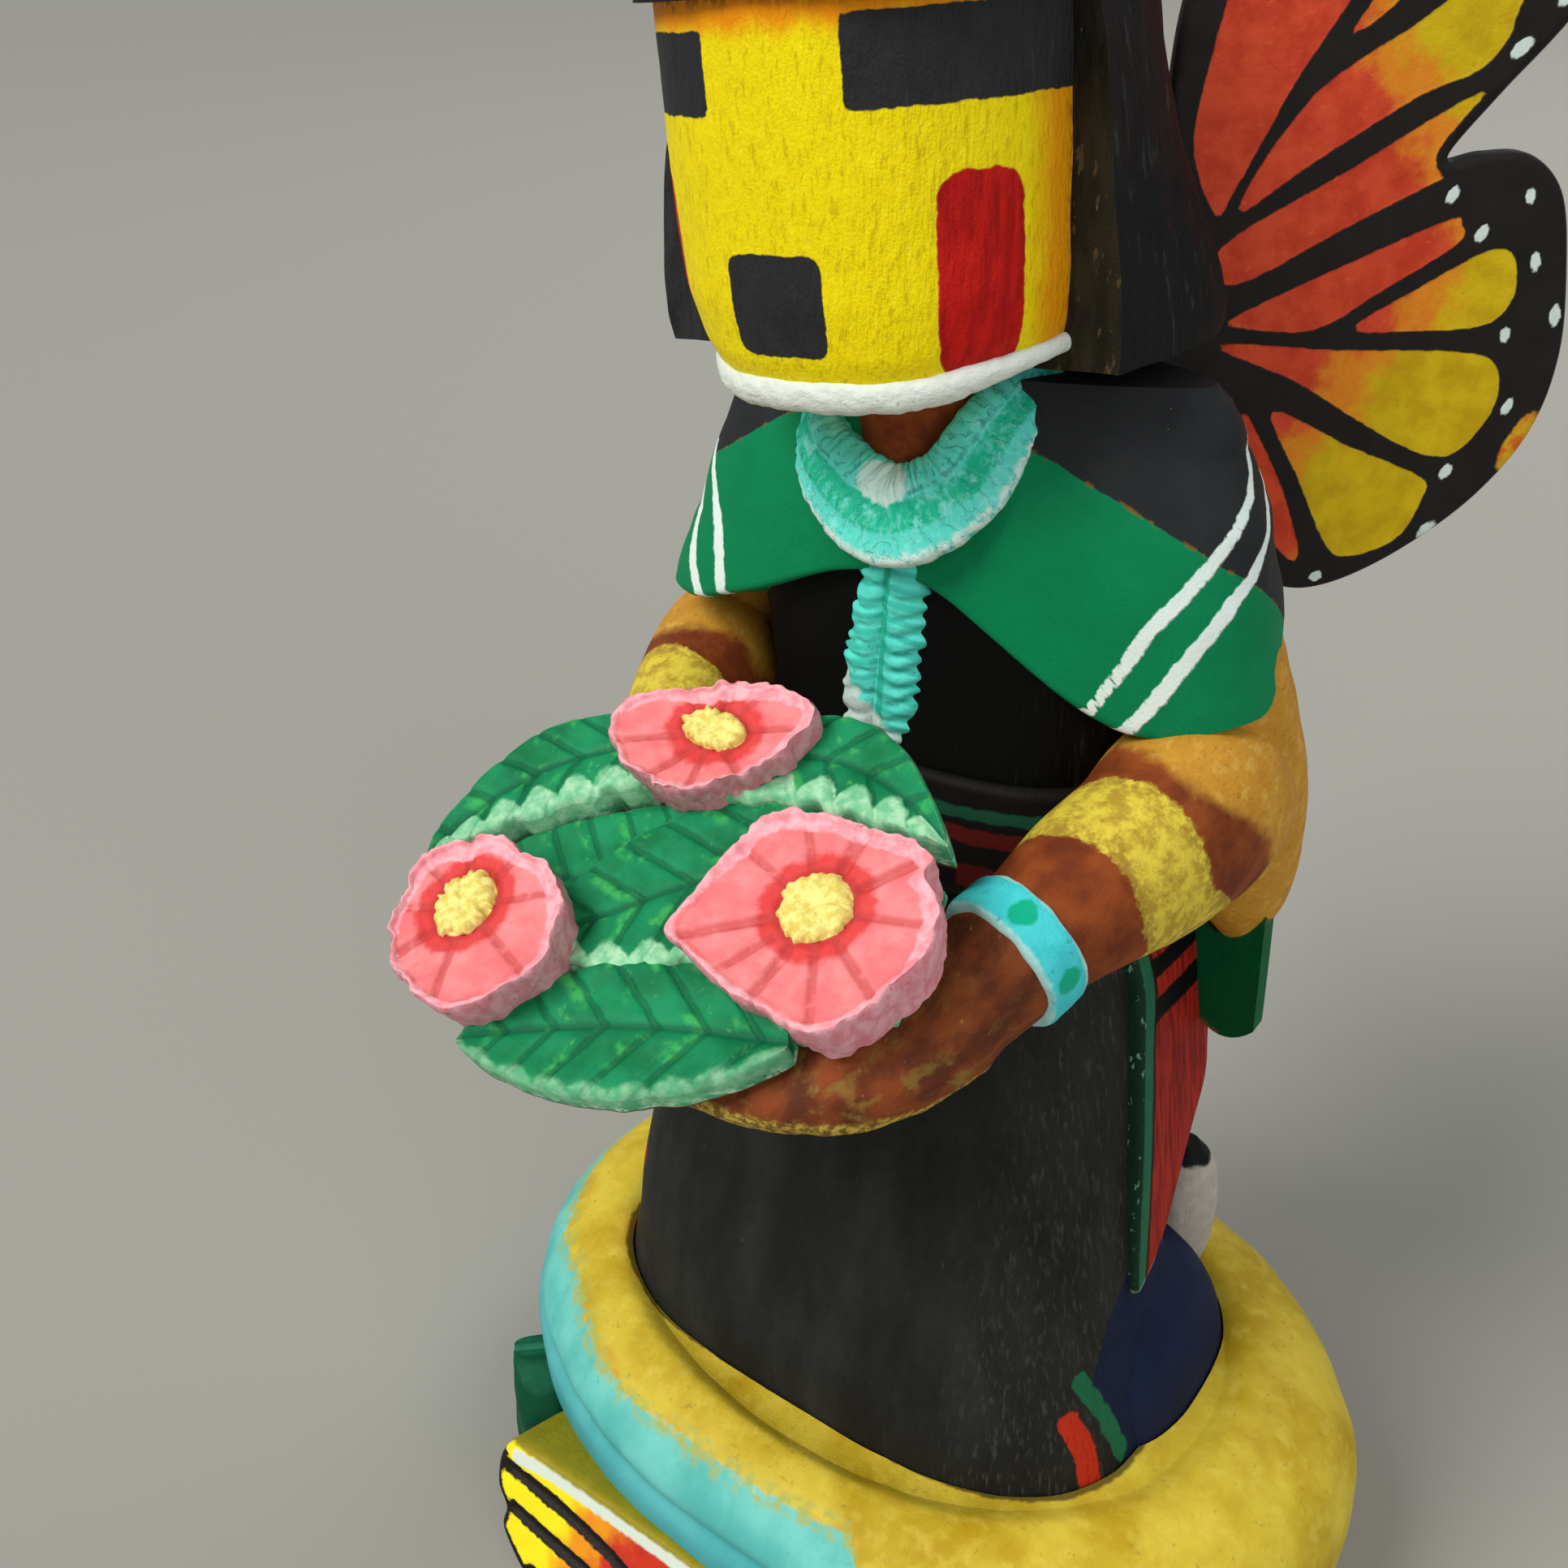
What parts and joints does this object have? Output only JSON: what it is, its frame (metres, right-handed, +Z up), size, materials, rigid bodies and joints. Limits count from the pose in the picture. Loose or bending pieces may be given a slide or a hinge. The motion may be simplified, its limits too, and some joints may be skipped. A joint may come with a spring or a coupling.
{
  "type": "kachina doll",
  "caption": "Carved and painted wooden kachina doll with butterfly wings, cape and sash, holding a tray of blossoms and standing in a rounded swirl base.",
  "frame": {"origin": "centre of the underside of the base, below the figure's axis", "axes": "+Z up, the figure faces -Y, its own left hand towards +X"},
  "size_m": [0.1492, 0.1441, 0.2736],
  "materials": {
    "figure": "matt paint",
    "swirl_base": "matt paint",
    "flower_spray": "satin paint",
    "wing": "satin paint"
  },
  "bodies": {
    "root": {"figure": "figure", "swirl_base": "swirl_base", "flower_spray": "flower_spray", "wing_left": "wing", "wing_right": "wing"}
  },
  "joints": []
}
